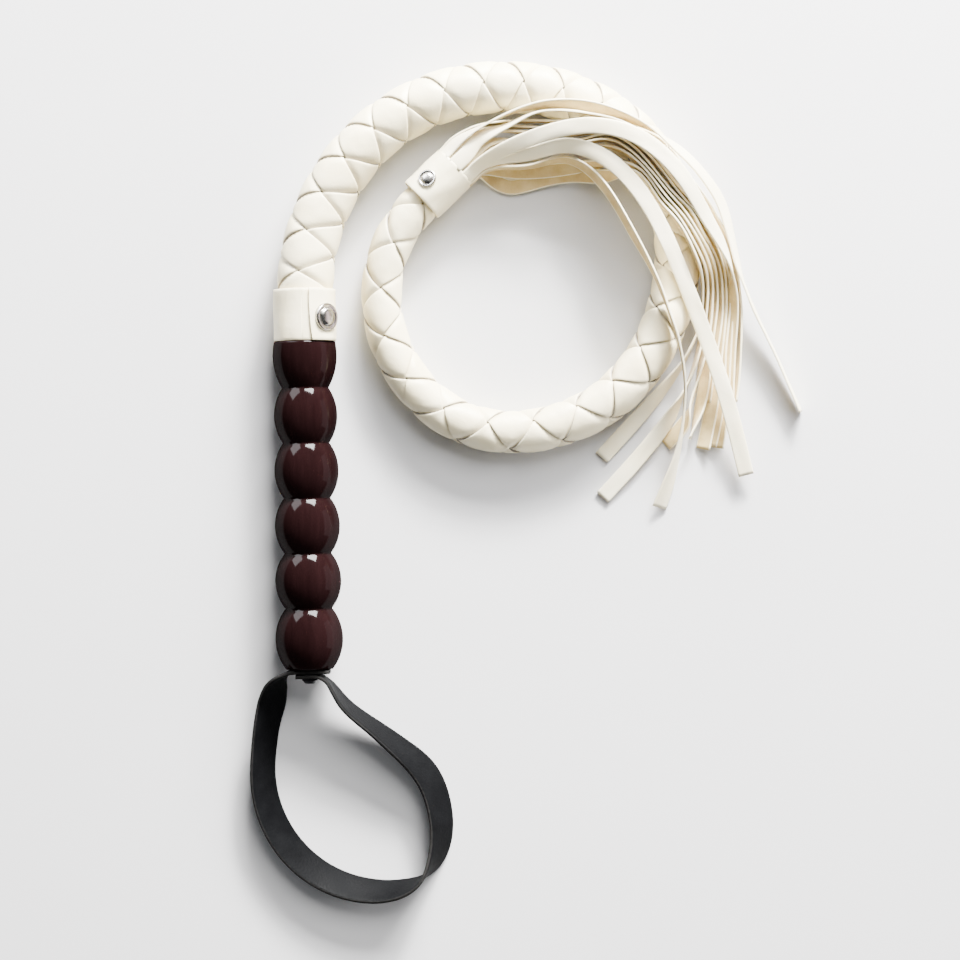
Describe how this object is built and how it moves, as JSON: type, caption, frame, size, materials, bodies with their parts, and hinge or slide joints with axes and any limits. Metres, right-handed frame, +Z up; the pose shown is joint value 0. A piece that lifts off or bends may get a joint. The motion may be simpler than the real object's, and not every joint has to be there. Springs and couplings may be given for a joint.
{
  "type": "riding crop",
  "caption": "Short braided whip lying in a coil: turned wooden grip with a wrist loop at the butt, tapered braided thong, collars with domed rivets and a fringed tassel.",
  "frame": {"origin": "on the surface that the part lies on, under the middle of the box around the handle, its collar and the wrist loop", "axes": "+Y along the handle from the wrist loop to the thong, +Z up from the surface, +X towards the coil"},
  "size_m": [0.2497, 0.3743, 0.0333],
  "materials": {
    "turned_wood": "gloss lacquer",
    "white_braid": "smooth coated",
    "core": "matt",
    "white_sheet": "smooth coated",
    "white_strands": "smooth coated",
    "nickel": "polished",
    "steel": "satin",
    "strap": "satin"
  },
  "bodies": {
    "handle": {"handle_grip": "turned_wood", "handle_collar": "white_sheet", "collar_rivet_cap": "nickel", "collar_rivet_post": "nickel", "thong_core": "core", "thong_braid": "white_braid", "tassel_collar": "white_sheet", "tassel_rivet_cap": "nickel", "tassel_rivet_post": "nickel", "tassel_strand_01": "white_strands", "tassel_strand_02": "white_strands", "tassel_strand_03": "white_strands", "tassel_strand_04": "white_strands", "tassel_strand_05": "white_strands", "tassel_strand_06": "white_strands", "tassel_strand_07": "white_strands", "tassel_strand_08": "white_strands", "tassel_strand_09": "white_strands", "tassel_strand_10": "white_strands", "tassel_strand_11": "white_strands", "tassel_strand_12": "white_strands", "tassel_strand_13": "white_strands", "butt_screw": "steel", "strap_washer": "steel"},
    "wrist_loop": {"wrist_strap": "strap"}
  },
  "joints": [
    {"name": "wrist_loop_swivel", "type": "hinge", "parent": "handle", "child": "wrist_loop", "pos_m": [-0.0173, -0.0314, 0.015], "axis": [0, 1, 0], "continuous": true}
  ]
}
